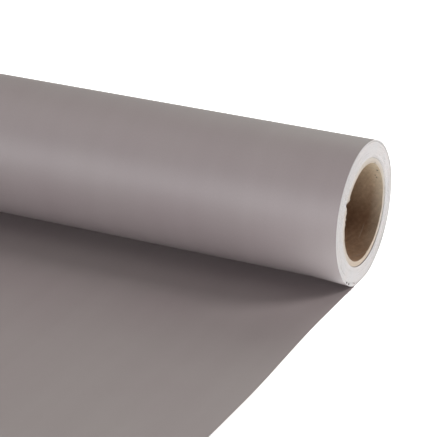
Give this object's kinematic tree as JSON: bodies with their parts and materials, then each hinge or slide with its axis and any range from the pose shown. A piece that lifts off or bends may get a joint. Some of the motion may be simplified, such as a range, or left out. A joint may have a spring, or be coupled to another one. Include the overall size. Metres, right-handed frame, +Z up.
{
  "type": "backdrop paper roll",
  "caption": "Roll of matte grey-taupe backdrop paper on a hollow board core, lying on the sheet that is pulled out from under it.",
  "frame": {"origin": "on the core's axis at mid-length", "axes": "+X along the core towards the end seen obliquely in the picture, +Z up, and the sheet leaves the bottom of the roll towards -Y"},
  "size_m": [1.35, 0.5393, 0.0834],
  "materials": {
    "paper": "matte grey-taupe dyed paper",
    "paper_edge": "matte off-white cut paper edges",
    "core_liner": "matte brown kraft paper",
    "core_board": "matte solid paperboard",
    "core_outer": "matte cream paper",
    "tape": "matte paper tape"
  },
  "bodies": {
    "sheet": {"pulled_sheet": "paper"},
    "outer_turn": {"outer_turn": "paper"},
    "roll": {"core_inner_liner": "core_liner", "core_board_ply_1": "core_board", "core_board_ply_2": "core_board", "core_board_ply_3": "core_board", "core_board_ply_4": "core_board", "core_board_ply_5": "core_board", "core_outer_ply": "core_outer", "start_tape": "tape", "wound_paper": "paper_edge"}
  },
  "joints": [
    {"name": "roll_travel", "type": "slide", "parent": "sheet", "child": "outer_turn", "axis": [0, 1, 0], "range_m": [-0.25, 0.75]},
    {"name": "roll_spin", "type": "hinge", "parent": "outer_turn", "child": "roll", "pos_m": [0, 0, 0], "axis": [1, 0, 0], "range_deg": [-1036, 346]}
  ],
  "couplings": [
    {"joint": "roll_spin", "follows": "roll_travel", "rad_per_m": -24.066}
  ]
}
